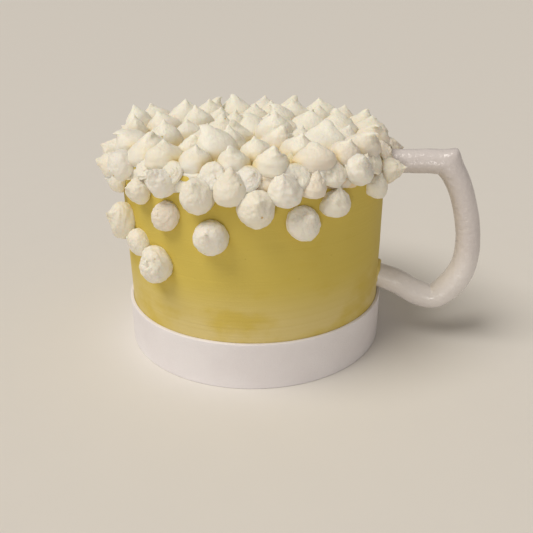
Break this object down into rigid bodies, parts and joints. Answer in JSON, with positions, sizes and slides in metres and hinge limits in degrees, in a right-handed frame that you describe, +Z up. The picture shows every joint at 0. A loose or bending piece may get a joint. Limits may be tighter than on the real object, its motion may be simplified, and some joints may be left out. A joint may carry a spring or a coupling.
{
  "type": "mug-shaped cake",
  "caption": "Round yellow cake shaped like a beer mug, with a fondant band at its foot, a fondant handle and a foam of piped meringues on top and down the wall.",
  "frame": {"origin": "centre of the cake's flat foot, on the surface that it stands on", "axes": "+Z is up along the cake's axis; +X points from the axis to the handle; -Y is the side that the picture shows most of"},
  "size_m": [0.2169, 0.1728, 0.135],
  "materials": {
    "yellow_buttercream": "matte yellow buttercream, scraped smooth",
    "white_fondant": "satin off-white fondant",
    "white_meringue": "matte ivory baked meringue"
  },
  "bodies": {
    "root": {"cake": "yellow_buttercream", "fondant_band": "white_fondant", "handle": "white_fondant", "meringue_head": "white_meringue", "loose_meringue_01": "white_meringue", "loose_meringue_02": "white_meringue", "loose_meringue_03": "white_meringue", "loose_meringue_04": "white_meringue", "loose_meringue_05": "white_meringue", "loose_meringue_06": "white_meringue", "loose_meringue_07": "white_meringue", "loose_meringue_08": "white_meringue", "loose_meringue_09": "white_meringue", "loose_meringue_10": "white_meringue", "loose_meringue_11": "white_meringue", "loose_meringue_12": "white_meringue"}
  },
  "joints": []
}
